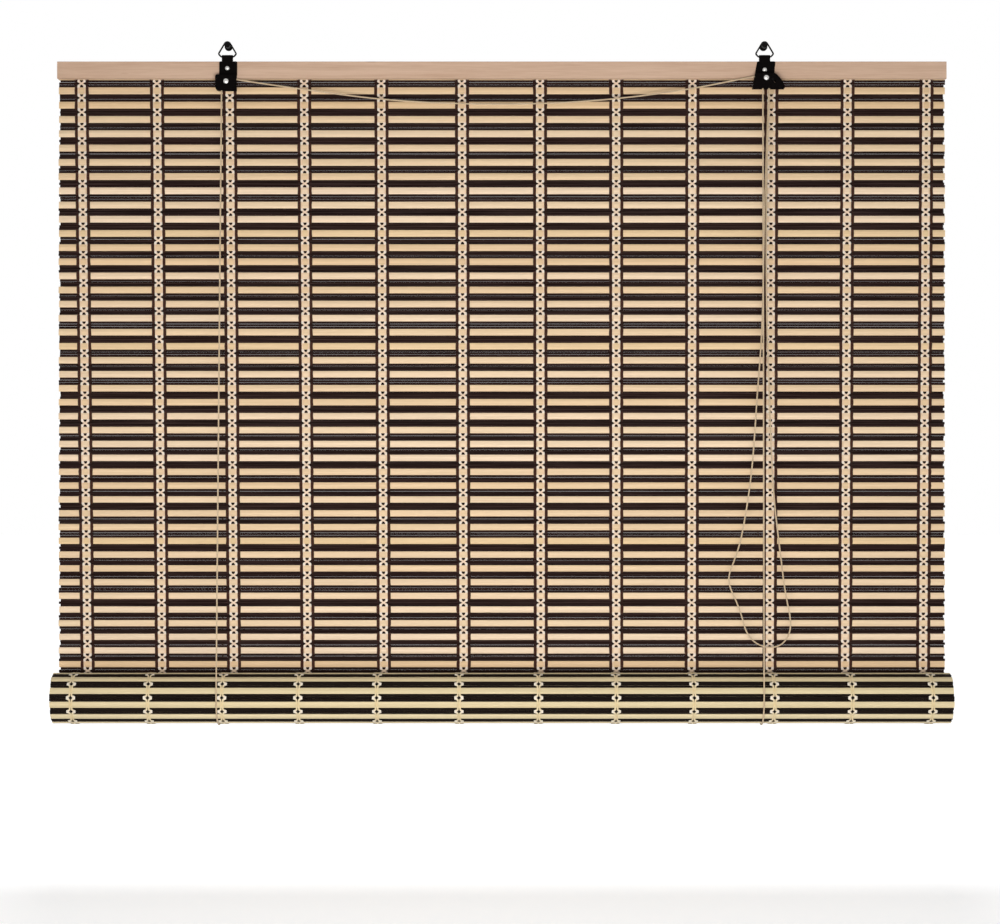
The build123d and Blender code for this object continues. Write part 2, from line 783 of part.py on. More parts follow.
nodes = {
    "head_rail": make_head_rail(),
    "hanging_mat": make_hanging_mat(),
    "rolled_mat": make_rolled_mat(),
    "roll_warp_yarns": make_roll_warp_yarns(),
    "bottom_rod": make_bottom_rod(),
    "mat_staples": make_mat_staples(),
    "left_hook": make_hook(left_x),
    "right_hook": make_hook(right_x),
    "left_ring": make_ring(left_x),
    "right_ring": make_ring(right_x),
    "left_bracket": make_left_bracket(),
    "right_bracket": make_right_bracket(),
    "left_pulley": make_left_pulley(),
    "lock_wheel": make_lock_wheel(),
    "left_axle": make_axle(pulley_axle_radius, left_front_depth, pulley_x, -pulley_drop),
    "lock_axle": make_axle(wheel_axle_radius, right_front_depth, wheel_x, -wheel_drop),
    "lock_roller": make_lock_roller(),
    "bracket_screws": make_bracket_screws(),
    "cross_cord": make_cross_cord(),
    "lock_cord_turn": make_lock_cord_turn(),
    "pull_cord": make_pull_cord(),
    "left_lift_cord": make_lift_cord(left_cord_x, left_sling_x, pulley_depth, left_lead_drop, "left_lift_cord"),
    "right_lift_cord": make_lift_cord(
        right_cord_x, right_sling_x, outer_groove_depth, right_lead_drop, "right_lift_cord"
    ),
    "left_sling": make_sling(left_sling_x, pulley_depth, left_lead_drop, "left_sling"),
    "right_sling": make_sling(right_sling_x, outer_groove_depth, right_lead_drop, "right_sling"),
    "left_rear_cord": make_rear_cord(left_sling_x, "left_rear_cord"),
    "right_rear_cord": make_rear_cord(right_sling_x, "right_rear_cord"),
    "rear_knots": make_rear_knots(),
}
for column in range(len(column_shares)):
    number = f"{column + 1:02d}"
    nodes["pale_warp_" + number] = make_pale_warp(column)
    nodes["dark_warp_" + number] = make_dark_warp(column)

os.makedirs("parts", exist_ok=True)
for name, solid in nodes.items():
    export_step(solid, f"parts/{name}.step")
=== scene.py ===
import json
import math
import random

import bpy
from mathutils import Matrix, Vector


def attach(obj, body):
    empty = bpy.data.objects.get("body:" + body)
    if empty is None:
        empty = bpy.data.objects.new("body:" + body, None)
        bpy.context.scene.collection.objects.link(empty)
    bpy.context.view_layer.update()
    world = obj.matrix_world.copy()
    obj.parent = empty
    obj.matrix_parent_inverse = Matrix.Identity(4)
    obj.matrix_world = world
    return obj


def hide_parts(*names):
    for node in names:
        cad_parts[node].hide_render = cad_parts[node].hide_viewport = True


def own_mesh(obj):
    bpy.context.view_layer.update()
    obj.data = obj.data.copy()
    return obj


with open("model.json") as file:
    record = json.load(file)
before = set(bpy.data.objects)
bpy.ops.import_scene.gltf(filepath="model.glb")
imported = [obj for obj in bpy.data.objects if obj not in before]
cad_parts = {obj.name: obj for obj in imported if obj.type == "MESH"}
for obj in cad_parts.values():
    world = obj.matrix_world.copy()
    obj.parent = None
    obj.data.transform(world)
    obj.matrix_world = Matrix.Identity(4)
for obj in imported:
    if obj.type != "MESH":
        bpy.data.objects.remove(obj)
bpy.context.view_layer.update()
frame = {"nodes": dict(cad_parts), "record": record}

MM = 0.001
CHANCE = random.Random(17)

# Sizes of the mat, the same as the solids', in millimetres
MAT_MIDDLE = 8.0
MAT_WIDTH = 1220.0
MAT_DEPTH = 6.0
SLAT_TOP = 10.1
SLAT_BOTTOM = 9.0
SLAT_DEEP = 2.2
SLAT_ROUNDING = 0.3
STICK_HIGH = 3.32
STICK_DEEP = 2.2
STICKS_PER_BAND = 3
BITE = 0.07
ROWS = 44
TOP_SLAT_DROP = 41.4
RAIL_BOTTOM = 46.0
STICK_PITCH = STICK_HIGH - BITE
BAND = STICKS_PER_BAND * STICK_PITCH - BITE
FRONT = -MAT_DEPTH - SLAT_DEEP / 2
BACK = -MAT_DEPTH + SLAT_DEEP / 2
MAT_BOTTOM = TOP_SLAT_DROP + ROWS * ((SLAT_TOP + SLAT_BOTTOM) / 2 + BAND) + SLAT_BOTTOM / 2

# Columns of warp yarn, across the mat from its middle, as shares of its width
COLUMN_SHARES = [
    -0.474, -0.389, -0.307, -0.223, -0.136, -0.045,
    0.043, 0.129, 0.215, 0.304, 0.39, 0.479,
]

# Places of the front yarns, to either side of their column
PALE_ASIDE = 4.6
DARK_ASIDE = 7.6

# The columns draw together towards the foot of the mat, and on the roll they spread and shift to the left
DRAW_SHARE = 0.012
DRAW_CENTRE = 170.0
ROLL_SPREAD_SHARE = 0.0115
ROLL_SHIFT = 5.0

# Winding of the roll
ROLL_RADIUS = 34.3
SEAM_GAP = 0.3
LAYER = 4.2
HALF_TURNS = 14
ROLL_Y = -MAT_DEPTH - ROLL_RADIUS
ROLL_Z = -MAT_BOTTOM - SEAM_GAP
ROLL_PITCH = SLAT_BOTTOM + BAND


# Materials

BLACK = (0.0, 0.0, 0.0, 1.0)
WHITE = (1.0, 1.0, 1.0, 1.0)
SOILED = (0.88, 0.87, 0.85, 1.0)

# Texture scales: along the grain, across it and from strip to strip, or else in X, Y and Z
FIBRE_RUN = 9.0
CLOUD_SCALE = (4.0, 320.0, 1.0)
SOIL_SCALE = (25.0, 1.0, 1.0)
BROAD_SCALE = (4.0, 60.0, 90.0)
FINE_SCALE = (30.0, 900.0, 1400.0)
KNOT_SCALE = (9.0, 3.0, 70.0)
SCRATCH_SCALE = (300.0, 300.0, 2600.0)
PEEL_SCALE = 900.0
PATCH_SCALE = 160.0
PLASTIC_SCALE = 1200.0
YARN_TWISTS = 900.0
CORD_TWISTS = 700.0
STRANDS = 3.0
STRAND_DISTORTION = 1.5

# How far the roughness goes below and above its own value
CANE_SMOOTHER = 0.08
CANE_ROUGHER = 0.12
PAINT_SMOOTHER = 0.07
PAINT_ROUGHER = 0.12
PLATING_SMOOTHER = 0.05
PLATING_ROUGHER = 0.15

# Heights of the relief in metres
PALE_CANE_RELIEF = 0.00012
DARK_CANE_RELIEF = 0.00018
YARN_RELIEF = 0.00025
WOOD_RELIEF = 0.0002
PAINT_RELIEF = 0.0002
PLATING_RELIEF = 0.0001
PLASTIC_RELIEF = 0.0001

# Tone of the clouds in the cane, shine of the yarn's fuzz, and share of the rail's fine grain
CLOUD_TONE = 0.86
YARN_SHEEN = 0.2
FINE_GRAIN_SHARE = 0.16


def srgb(red, green, blue):
    """Linear colour from 0 to 255 screen values."""
    def one(value):
        value /= 255
        return value / 12.92 if value <= 0.04045 else ((value + 0.055) / 1.055) ** 2.4
    return (one(red), one(green), one(blue), 1.0)


def grey(value):
    return (value, value, value, 1.0)


def start_material(name, roughness, specular=0.5, metallic=0.0):
    material = bpy.data.materials.new(name)
    material.use_nodes = True
    shader = material.node_tree.nodes["Principled BSDF"]
    shader.inputs["Roughness"].default_value = roughness
    shader.inputs["Specular IOR Level"].default_value = specular
    shader.inputs["Metallic"].default_value = metallic
    return material, material.node_tree, shader


def add(tree, kind, **settings):
    node = tree.nodes.new(kind)
    for key, value in settings.items():
        setattr(node, key, value)
    return node


def link(tree, source, target):
    tree.links.new(source, target)


def attribute(tree, name):
    return add(tree, "ShaderNodeAttribute", attribute_name=name)


def object_place(tree):
    return add(tree, "ShaderNodeTexCoord").outputs["Object"]


def stretched(tree, vector, scale):
    mapping = add(tree, "ShaderNodeMapping")
    mapping.inputs["Scale"].default_value = scale
    link(tree, vector, mapping.inputs["Vector"])
    return mapping.outputs["Vector"]


def noise(tree, vector, scale=1.0, detail=4.0, rough=0.55):
    node = add(tree, "ShaderNodeTexNoise")
    node.inputs["Scale"].default_value = scale
    node.inputs["Detail"].default_value = detail
    node.inputs["Roughness"].default_value = rough
    link(tree, vector, node.inputs["Vector"])
    return node.outputs["Fac"]


def ramp(tree, factor, stops):
    node = add(tree, "ShaderNodeValToRGB")
    elements = node.color_ramp.elements
    while len(elements) < len(stops):
        elements.new(0.5)
    for element, (place, colour) in zip(elements, stops):
        element.position = place
        element.color = colour
    link(tree, factor, node.inputs["Fac"])
    return node.outputs["Color"]


def mix(tree, factor, first, second, blend="MIX"):
    node = add(tree, "ShaderNodeMix", data_type="RGBA", blend_type=blend)
    if isinstance(factor, float):
        node.inputs["Factor"].default_value = factor
    else:
        link(tree, factor, node.inputs["Factor"])
    for socket, value in (("A", first), ("B", second)):
        target = [item for item in node.inputs if item.name == socket and item.type == "RGBA"][0]
        if isinstance(value, tuple):
            target.default_value = value
        else:
            link(tree, value, target)
    return [item for item in node.outputs if item.type == "RGBA"][0]


def vary_roughness(tree, shader, factor, first, last):
    """Roughness that follows a texture from one stop to another, each with a place and a value."""
    stops = [(place, grey(value)) for place, value in (first, last)]
    link(tree, ramp(tree, factor, stops), shader.inputs["Roughness"])


def bump(tree, shader, height, strength, distance):
    node = add(tree, "ShaderNodeBump")
    node.inputs["Strength"].default_value = strength
    node.inputs["Distance"].default_value = distance
    link(tree, height, node.inputs["Height"])
    link(tree, node.outputs["Normal"], shader.inputs["Normal"])


def grained(name, tones, grain_and_highlight_streaks, roughness, specular, streak_share, relief, fineness):
    """Split cane: each strip has its own tone, with fibres along it and slow changes of colour; pale
    streaks on the dark sticks are painted highlights.
    """
    material, tree, shader = start_material(name, roughness, specular)
    tone = attribute(tree, "tone").outputs["Fac"]
    grain = attribute(tree, "grain").outputs["Vector"]
    fibres = noise(tree, stretched(tree, grain, (FIBRE_RUN, fineness, 1.0)), detail=6.0, rough=0.65)
    clouds = noise(tree, stretched(tree, grain, CLOUD_SCALE), detail=2.0)
    grain_and_highlight_mask = ramp(tree, fibres, [(0.42, BLACK), (0.74, WHITE)])
    lined = mix(tree, mix(tree, streak_share, BLACK, grain_and_highlight_mask), ramp(tree, tone, tones), grain_and_highlight_streaks)
    shade = ramp(tree, clouds, [(0.3, grey(CLOUD_TONE)), (0.7, WHITE)])
    link(tree, mix(tree, 1.0, lined, shade, "MULTIPLY"), shader.inputs["Base Color"])
    vary_roughness(tree, shader, fibres, (0.2, roughness - CANE_SMOOTHER), (0.8, roughness + CANE_ROUGHER))
    bump(tree, shader, fibres, strength=0.5, distance=relief)
    return material


def spun(name, pale, deep, roughness, twists=YARN_TWISTS, flat=None):
    """Twisted yarn or cord: strands wind round it, with fuzz; flat is its colour where its tone is low."""
    material, tree, shader = start_material(name, roughness, specular=0.25)
    shader.inputs["Sheen Weight"].default_value = YARN_SHEEN
    grain = attribute(tree, "grain").outputs["Vector"]
    wave = add(tree, "ShaderNodeTexWave", wave_type="BANDS", bands_direction="DIAGONAL")
    wave.inputs["Scale"].default_value = 1.0
    wave.inputs["Distortion"].default_value = STRAND_DISTORTION
    link(tree, stretched(tree, grain, (twists, STRANDS, 0.0)), wave.inputs["Vector"])
    soil = noise(tree, stretched(tree, grain, SOIL_SCALE), detail=3.0)
    colour = ramp(tree, wave.outputs["Fac"], [(0.0, deep), (0.55, pale)])
    if flat:
        colour = mix(tree, attribute(tree, "tone").outputs["Fac"], flat, colour)
    shade = ramp(tree, soil, [(0.3, SOILED), (0.65, WHITE)])
    link(tree, mix(tree, 1.0, colour, shade, "MULTIPLY"), shader.inputs["Base Color"])
    bump(tree, shader, wave.outputs["Fac"], strength=0.6, distance=YARN_RELIEF)
    return material


def planed_wood(name, pale, warm, dark):
    """A planed batten: long soft grain, pores and a few small knots."""
    material, tree, shader = start_material(name, roughness=0.62, specular=0.3)
    place = object_place(tree)
    broad = noise(tree, stretched(tree, place, BROAD_SCALE), detail=5.0, rough=0.6)
    fine = noise(tree, stretched(tree, place, FINE_SCALE), detail=4.0, rough=0.6)
    cells = add(tree, "ShaderNodeTexVoronoi", feature="F1")
    cells.inputs["Scale"].default_value = 1.0
    link(tree, stretched(tree, place, KNOT_SCALE), cells.inputs["Vector"])
    knot = ramp(tree, cells.outputs["Distance"], [(0.05, WHITE), (0.12, BLACK)])
    body = ramp(tree, broad, [(0.32, warm), (0.62, pale)])
    lined = mix(tree, FINE_GRAIN_SHARE, body, ramp(tree, fine, [(0.35, dark), (0.6, pale)]))
    link(tree, mix(tree, knot, lined, dark), shader.inputs["Base Color"])
    bump(tree, shader, fine, strength=0.35, distance=WOOD_RELIEF)
    return material


def painted(name, colour, worn, roughness, specular):
    """Satin paint on folded steel, with fine orange peel and rubbed spots."""
    material, tree, shader = start_material(name, roughness, specular)
    place = object_place(tree)
    peel = noise(tree, place, PEEL_SCALE, detail=3.0)
    patches = noise(tree, place, PATCH_SCALE, detail=5.0, rough=0.7)
    rubbed = ramp(tree, patches, [(0.6, BLACK), (0.78, WHITE)])
    link(tree, mix(tree, rubbed, colour, worn), shader.inputs["Base Color"])
    vary_roughness(
        tree, shader, patches, (0.3, roughness - PAINT_SMOOTHER), (0.7, roughness + PAINT_ROUGHER),
    )
    bump(tree, shader, peel, strength=0.25, distance=PAINT_RELIEF)
    return material


def plated(name, colour, dull, roughness):
    """Zinc-plated steel with fine scratches and dull patches."""
    material, tree, shader = start_material(name, roughness, metallic=1.0)
    scratches = noise(tree, stretched(tree, object_place(tree), SCRATCH_SCALE), detail=5.0, rough=0.7)
    link(tree, ramp(tree, scratches, [(0.3, dull), (0.65, colour)]), shader.inputs["Base Color"])
    vary_roughness(
        tree, shader, scratches, (0.3, roughness + PLATING_ROUGHER), (0.7, roughness - PLATING_SMOOTHER),
    )
    bump(tree, shader, scratches, strength=0.15, distance=PLATING_RELIEF)
    return material


def moulded(name, colour, dull):
    """Moulded plastic with a fine matt grain."""
    material, tree, shader = start_material(name, roughness=0.45)
    grain = noise(tree, object_place(tree), PLASTIC_SCALE, detail=3.0)
    link(tree, ramp(tree, grain, [(0.3, dull), (0.7, colour)]), shader.inputs["Base Color"])
    bump(tree, shader, grain, strength=0.2, distance=PLASTIC_RELIEF)
    return material


# Tones of the strips, as stops of a ramp that each strip's own tone picks from
TAN = [
    (0.0, srgb(219, 183, 136)),
    (0.25, srgb(233, 207, 173)),
    (0.5, srgb(226, 195, 154)),
    (0.75, srgb(239, 214, 184)),
    (1.0, srgb(225, 194, 146)),
]
ROLL_TAN = [
    (0.0, srgb(214, 196, 154)),
    (0.35, srgb(224, 206, 168)),
    (0.7, srgb(229, 212, 174)),
    (1.0, srgb(217, 200, 158)),
]
DARK = [
    (0.0, srgb(19, 8, 5)),
    (0.5, srgb(25, 11, 7)),
    (1.0, srgb(33, 17, 12)),
]
ROLL_DARK = [
    (0.0, srgb(10, 4, 2)),
    (0.5, srgb(13, 6, 3)),
    (1.0, srgb(18, 9, 6)),
]
PALE_CANE = {
    "roughness": 0.55,
    "specular": 0.3,
    "streak_share": 0.35,
    "relief": PALE_CANE_RELIEF,
    "fineness": 1500.0,
}
# On the dark sticks the pale streak colour is a painted highlight: fine lines along each stick
DARK_CANE = {
    "roughness": 0.5,
    "specular": 0.05,
    "streak_share": 0.4,
    "relief": DARK_CANE_RELIEF,
    "fineness": 700.0,
}
YARN_ROUGH = 0.85

slat_cane = grained("slat_cane", TAN, srgb(198, 160, 114), **PALE_CANE)
roll_cane = grained("roll_cane", ROLL_TAN, srgb(196, 168, 116), **PALE_CANE)
# The pale streaks on the dark sticks, hanging and rolled, are painted highlights
dark_cane = grained("dark_cane", DARK, srgb(92, 72, 68), **DARK_CANE)
roll_dark_cane = grained("roll_dark_cane", ROLL_DARK, srgb(54, 43, 35), **DARK_CANE)
pale_yarn = spun(
    "pale_yarn", srgb(246, 236, 224), srgb(222, 204, 186), YARN_ROUGH, flat=srgb(232, 200, 166),
)
roll_yarn = spun(
    "roll_yarn", srgb(246, 238, 224), srgb(222, 206, 186), YARN_ROUGH, flat=srgb(226, 204, 156),
)
dark_yarn = spun("dark_yarn", srgb(64, 28, 8), srgb(30, 10, 3), YARN_ROUGH)
cord_yarn = spun("cord_yarn", srgb(222, 200, 168), srgb(170, 140, 104), roughness=0.8, twists=CORD_TWISTS)
rail_wood = planed_wood("rail_wood", srgb(204, 173, 149), srgb(190, 157, 132), srgb(145, 107, 82))
black_paint = painted("black_paint", srgb(7, 5, 5), srgb(15, 13, 13), roughness=0.5, specular=0.02)
dark_steel = painted("dark_steel", srgb(9, 8, 8), srgb(24, 23, 24), roughness=0.4, specular=0.05)
bright_steel = plated("bright_steel", srgb(214, 212, 208), srgb(150, 148, 146), roughness=0.28)
wheel_plastic = moulded("wheel_plastic", srgb(222, 218, 208), srgb(204, 200, 188))

FINISHES = {
    "rail_wood": rail_wood,
    "bamboo": slat_cane,
    "pale_yarn": pale_yarn,
    "dark_yarn": dark_yarn,
    "cord": cord_yarn,
    "black_paint": black_paint,
    "bright_steel": bright_steel,
    "dark_steel": dark_steel,
    "wheel_plastic": wheel_plastic,
}


def finish(node, material):
    node.data.materials.clear()
    node.data.materials.append(material)


for part in frame["record"]["subparts"]:
    finish(frame["nodes"][part["node"]], FINISHES[part["material_slot"]])

# The roller in the cord lock takes the dark steel finish, so that its end hardly shows
finish(frame["nodes"]["lock_roller"], dark_steel)


# Bars and yarns

# Angles in degrees
FULL_TURN = 360
SHARP_ANGLE = 50

# Every strip and yarn has a place of its own in the textures, up to this far away
GRAIN_SEEDS = 50.0

SLAT_EASE = 0.5
SLAT_CROWN = 0.12
SLAT_SLACK = 0.1
STICK_CORNERS = 8
STICK_THIN_SHARE = 0.92
YARN_SIDES = 6
YARN_DEEP = 0.9

# A yarn's width where its tone is 0, and what a tone of 1 adds to it, as shares of its usual width
YARN_THIN_SHARE = 0.7
YARN_SWELL_SHARE = 0.6

# A drift keeps a share of its last value and adds a share of a new one; outwards a strip drifts less
KEPT_SHARE = 0.7
NEW_SHARE = 0.6
SWAY_SHARE = 0.4


class Piece:
    """Bars and yarns collected into one mesh, with a tone and a place along the grain for each point."""

    def __init__(self):
        self.points = []
        self.faces = []
        self.tones = []
        self.grain = []

    def rings(self, rings, tones, runs, across):
        """Skin over rings of points, each with a tone and a run along the grain; the ends are closed."""
        count = len(rings[0])
        first = len(self.points)
        seed = CHANCE.uniform(0.0, GRAIN_SEEDS)
        for ring, tone, run in zip(rings, tones, runs):
            for point, aside in zip(ring, across):
                self.points.append(Vector(point) * MM)
                self.tones.append(tone)
                self.grain.append((run * MM, aside, seed))
        for ring in range(len(rings) - 1):
            start = first + ring * count
            for number in range(count):
                after = start + (number + 1) % count
                here = start + number
                self.faces.append((here, after, after + count, here + count))
        last = first + (len(rings) - 1) * count
        self.faces.append(tuple(range(first + count - 1, first - 1, -1)))
        self.faces.append(tuple(range(last, last + count)))

    def make(self, name, material, body):
        mesh = bpy.data.meshes.new(name)
        mesh.from_pydata(self.points, [], self.faces)
        tone = mesh.attributes.new("tone", "FLOAT", "POINT")
        tone.data.foreach_set("value", self.tones)
        grain = mesh.attributes.new("grain", "FLOAT_VECTOR", "POINT")
        grain.data.foreach_set("vector", [value for point in self.grain for value in point])
        mesh.materials.append(material)
        mesh.polygons.foreach_set("use_smooth", [True] * len(mesh.polygons))
        mesh.update()
        piece = bpy.data.objects.new(name, mesh)
        bpy.context.scene.collection.objects.link(piece)
        mesh.set_sharp_from_angle(angle=math.radians(SHARP_ANGLE))
        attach(piece, body)
        return piece


def slat_profile(height):
    """Flat strip with eased edges and a slightly crowned skin, as out and along."""
    half = height / 2
    deep = (SLAT_DEEP - SLAT_SLACK) / 2
    return [
        (deep - SLAT_CROWN, -half + SLAT_EASE),
        (deep, 0.0),
        (deep - SLAT_CROWN, half - SLAT_EASE),
        (deep - SLAT_EASE, half),
        (-deep + SLAT_EASE, half),
        (-deep, half - SLAT_EASE),
        (-deep, -half + SLAT_EASE),
        (-deep + SLAT_EASE, -half),
        (deep - SLAT_EASE, -half),
    ]


def stick_profile(height):
    """Split stick, nearly round."""
    thickness = STICK_DEEP * STICK_THIN_SHARE
    corners = []
    for number in range(STICK_CORNERS):
        angle = math.radians(FULL_TURN / STICK_CORNERS * number)
        corners.append((thickness / 2 * math.cos(angle), height / 2 * math.sin(angle)))
    return corners


def wander(count, size):
    """Slow drift along a strip, zero on average."""
    value = CHANCE.uniform(-size, size)
    values = []
    for _ in range(count):
        value = KEPT_SHARE * value + CHANCE.uniform(-size, size) * NEW_SHARE
        values.append(value)
    return values


def lay_strip(piece, profile, place, tone, ends, drift, steps):
    """One strip across the mat; place gives its middle and its out and along directions in Y and Z."""
    (middle_y, middle_z), (out_y, out_z), (along_y, along_z) = place
    left, right = ends
    rises = wander(steps + 1, drift)
    sways = wander(steps + 1, drift * SWAY_SHARE)
    rings = []
    runs = []
    for step in range(steps + 1):
        x = left + (right - left) * step / steps
        ring = []
        for out, along in profile:
            out += sways[step]
            along += rises[step]
            y = middle_y + out * out_y + along * along_y
            z = middle_z + out * out_z + along * along_z
            ring.append((x, y, z))
        rings.append(ring)
        runs.append(x)
    piece.rings(rings, [tone] * len(rings), runs, [along * MM for out, along in profile])


def strip_ends(ragged):
    """Left and right ends of a strip, each short of the mat's edge by chance."""
    left = MAT_MIDDLE - MAT_WIDTH / 2 + CHANCE.uniform(0.0, ragged)
    right = MAT_MIDDLE + MAT_WIDTH / 2 - CHANCE.uniform(0.0, ragged)
    return left, right


def lay_yarn(piece, points, width, depth=YARN_DEEP, sides=YARN_SIDES):
    """A yarn along points, each with the direction that it faces and its tone; low tones are narrower."""
    rings = []
    runs = []
    run = 0.0
    for number, (point, out, tone) in enumerate(points):
        point = Vector(point)
        before = Vector(points[max(number - 1, 0)][0])
        after = Vector(points[min(number + 1, len(points) - 1)][0])
        ahead = (after - before).normalized()
        side = ahead.cross(Vector(out)).normalized()
        up = side.cross(ahead).normalized()
        half = width * (YARN_THIN_SHARE + YARN_SWELL_SHARE * tone) / 2
        ring = []
        for corner in range(sides):
            angle = 2 * math.pi * corner / sides
            ring.append(point + side * (half * math.cos(angle)) + up * (depth / 2 * math.sin(angle)))
        if number:
            run += (point - before).length
        rings.append(ring)
        runs.append(run)
    tones = [tone for point, out, tone in points]
    piece.rings(rings, tones, runs, [corner / sides for corner in range(sides)])


def hang(piece):
    """The hanging mat and what is woven into it get meshes of their own."""
    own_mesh(piece)


# Hanging mat

FACING = ((-1.0, 0.0), (0.0, -1.0))
FORWARD = (0, -1, 0)
BACKWARD = (0, 1, 0)
MAT_STEPS = 14
SLAT_RAGGED = 1.0
SLAT_DRIFT = 0.06
STICK_RAGGED = 3.0
STICK_DRIFT = 0.02
SLIM_PITCH = (BAND + 2 * SLAT_ROUNDING) / STICKS_PER_BAND
MIDDLE_STICK = STICKS_PER_BAND // 2

# Heights of the slits between two sticks, picked by chance, and at the slats; below zero they overlap
SLITS = (-0.05, -0.05, -0.05, -0.05, 0.08, 0.12, 0.16)
EDGE_SLIT = -0.1

# How much further than other slats the top slat goes, above and below
TOP_SLAT_SHOWS = 0.6


def slat_height(row):
    return SLAT_TOP + (SLAT_BOTTOM - SLAT_TOP) * row / ROWS


def slat_z(row):
    drop = TOP_SLAT_DROP
    for above in range(row):
        drop += (slat_height(above) + slat_height(above + 1)) / 2 + BAND
    return -drop


def slat_lines(row):
    """Heights of a slat's middle, its upper edge and its lower edge."""
    middle = slat_z(row)
    half = slat_height(row) / 2
    return middle, middle + half, middle - half


def column_foot(share):
    top = MAT_MIDDLE + share * MAT_WIDTH
    return top - DRAW_SHARE * (top - DRAW_CENTRE)


def column_x(share, z):
    """Sideways place of a column, which leans a little, at a height."""
    top = MAT_MIDDLE + share * MAT_WIDTH
    down = (-z - RAIL_BOTTOM) / (MAT_BOTTOM - RAIL_BOTTOM)
    return top + down * (column_foot(share) - top)


def lay_band(piece, row):
    """The dark sticks below a slat."""
    inner = [CHANCE.choice(SLITS) for _ in range(STICKS_PER_BAND - 1)]
    slits = [EDGE_SLIT] + inner + [EDGE_SLIT]
    band_middle = slat_z(row) - slat_height(row) / 2 - BAND / 2
    for number in range(STICKS_PER_BAND):
        above, below = slits[number], slits[number + 1]
        middle = band_middle + (MIDDLE_STICK - number) * SLIM_PITCH + (below - above) / 4
        place = ((-MAT_DEPTH, middle),) + FACING
        ends = strip_ends(STICK_RAGGED)
        profile = stick_profile(SLIM_PITCH - (above + below) / 2)
        lay_strip(piece, profile, place, CHANCE.random(), ends, STICK_DRIFT, MAT_STEPS)


slats = Piece()
sticks = Piece()
for row in range(ROWS + 1):
    place = ((-MAT_DEPTH, slat_z(row)),) + FACING
    ends = strip_ends(SLAT_RAGGED)
    shows = TOP_SLAT_SHOWS if row == 0 else 0.0
    profile = slat_profile(slat_height(row) - 2 * SLAT_ROUNDING + 2 * shows)
    lay_strip(slats, profile, place, CHANCE.random(), ends, SLAT_DRIFT, MAT_STEPS)
    if row < ROWS:
        lay_band(sticks, row)
hanging_slats = slats.make("hanging_slats", slat_cane, "blind")
hanging_sticks = sticks.make("hanging_sticks", dark_cane, "blind")
for piece in (hanging_slats, hanging_sticks):
    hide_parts("hanging_mat")
    hang(piece)


# Yarns of the hanging mat

# Widths of the yarns where their tone is a half
PALE_WIDTH = 2.8
BACK_WIDTH = 2.0
DARK_WIDTH = 4.3

# How far a yarn strays to the side, and how far inside an edge or an end it turns
PALE_STRAY = 0.15
DARK_STRAY = 0.3
TUCK = 0.1
OVER_INSET = 1.3
DARK_INSET = 0.3
BACK_INSET = 0.2

# A pale front yarn at the rail, at a slat's edge, over a slat and at the foot: share aside, lift, tone
PALE_LIFT = 0.25
PALE_HEAD = (1.0, PALE_LIFT, 0.6)
PALE_EDGE = (0.88, PALE_LIFT, 0.9)
PALE_OVER = (1.0, 0.3, 0.0)
PALE_FOOT = (1.0, PALE_LIFT, 0.5)

# Its way over a dark band: share of the band, share aside, rise of one yarn and dip of the other, tone
CROSSING = (
    (0.2, 0.84, 0.1, 1.0),
    (0.36, 0.45, 0.2, 0.2),
    (0.5, 0.0, 0.3, 0.45),
    (0.64, -0.45, 0.2, 0.2),
    (0.8, -0.84, 0.1, 1.0),
)

# A dark yarn's lift at a slat's edge and on its middle, and where and how far it sinks between the sticks
DARK_LIFT = 0.15
DARK_CROWN = 0.3
DARK_SINK = 1.2
DARK_SINK_SHARES = (0.25, 0.75)
DARK_TONE = 0.5

# Half the way between two back yarns on a slat, and how much it grows up to the middle of a band
BACK_CLOSE = 0.9
BACK_OPENING = 4.0

# A back yarn at a slat's edge, over a slat and in a band: share of the opening, lift, tone
BACK_EDGE = (0.15, 0.25, 0.7)
BACK_OVER = (0.0, 0.35, 0.0)
BACK_LOOP = (0.9, 0.25, 1.0)
BACK_LOOP_SHARES = (0.35, 0.65)


def front_pale_route(share, side):
    """Along one side of the column over each slat, then across to the other side over the dark sticks."""
    route = []

    def step(sign, z, aside_share, lift, tone):
        aside = sign * aside_share * PALE_ASIDE + CHANCE.uniform(-PALE_STRAY, PALE_STRAY)
        route.append(((column_x(share, z) + aside, FRONT - lift, z), FORWARD, tone))

    step(side, -RAIL_BOTTOM - TUCK, *PALE_HEAD)
    for row in range(ROWS + 1):
        sign = side if row % 2 == 0 else -side
        _, upper, lower = slat_lines(row)
        if row:
            step(sign, upper - TUCK, *PALE_EDGE)
            step(sign, upper - OVER_INSET, *PALE_OVER)
            step(sign, lower + OVER_INSET, *PALE_OVER)
        if row < ROWS:
            step(sign, lower + TUCK, *PALE_EDGE)
            for down_share, aside_share, lift, tone in CROSSING:
                step(sign, lower - down_share * BAND, aside_share, PALE_LIFT + lift * sign, tone)
    step(side if ROWS % 2 == 0 else -side, -MAT_BOTTOM + TUCK, *PALE_FOOT)
    return route


def dark_route(share, side):
    """Stands out over each slat and sinks between the dark sticks."""
    route = []

    def step(z, lift):
        aside = side * DARK_ASIDE + CHANCE.uniform(-DARK_STRAY, DARK_STRAY)
        route.append(((column_x(share, z) + aside, FRONT - lift, z), FORWARD, DARK_TONE))

    step(-RAIL_BOTTOM - TUCK, DARK_LIFT)
    for row in range(ROWS + 1):
        middle, upper, lower = slat_lines(row)
        if row:
            step(upper - DARK_INSET, DARK_LIFT)
            step(middle, DARK_CROWN)
        if row < ROWS:
            step(lower + DARK_INSET, DARK_LIFT)
            for down_share in DARK_SINK_SHARES:
                step(lower - down_share * BAND, -DARK_SINK)
    step(-MAT_BOTTOM + TUCK, DARK_LIFT)
    return route


def back_spread(share):
    """Half the way between the back yarns; the share is 0 on a slat and 1 in the middle of a band."""
    return BACK_CLOSE + BACK_OPENING * share


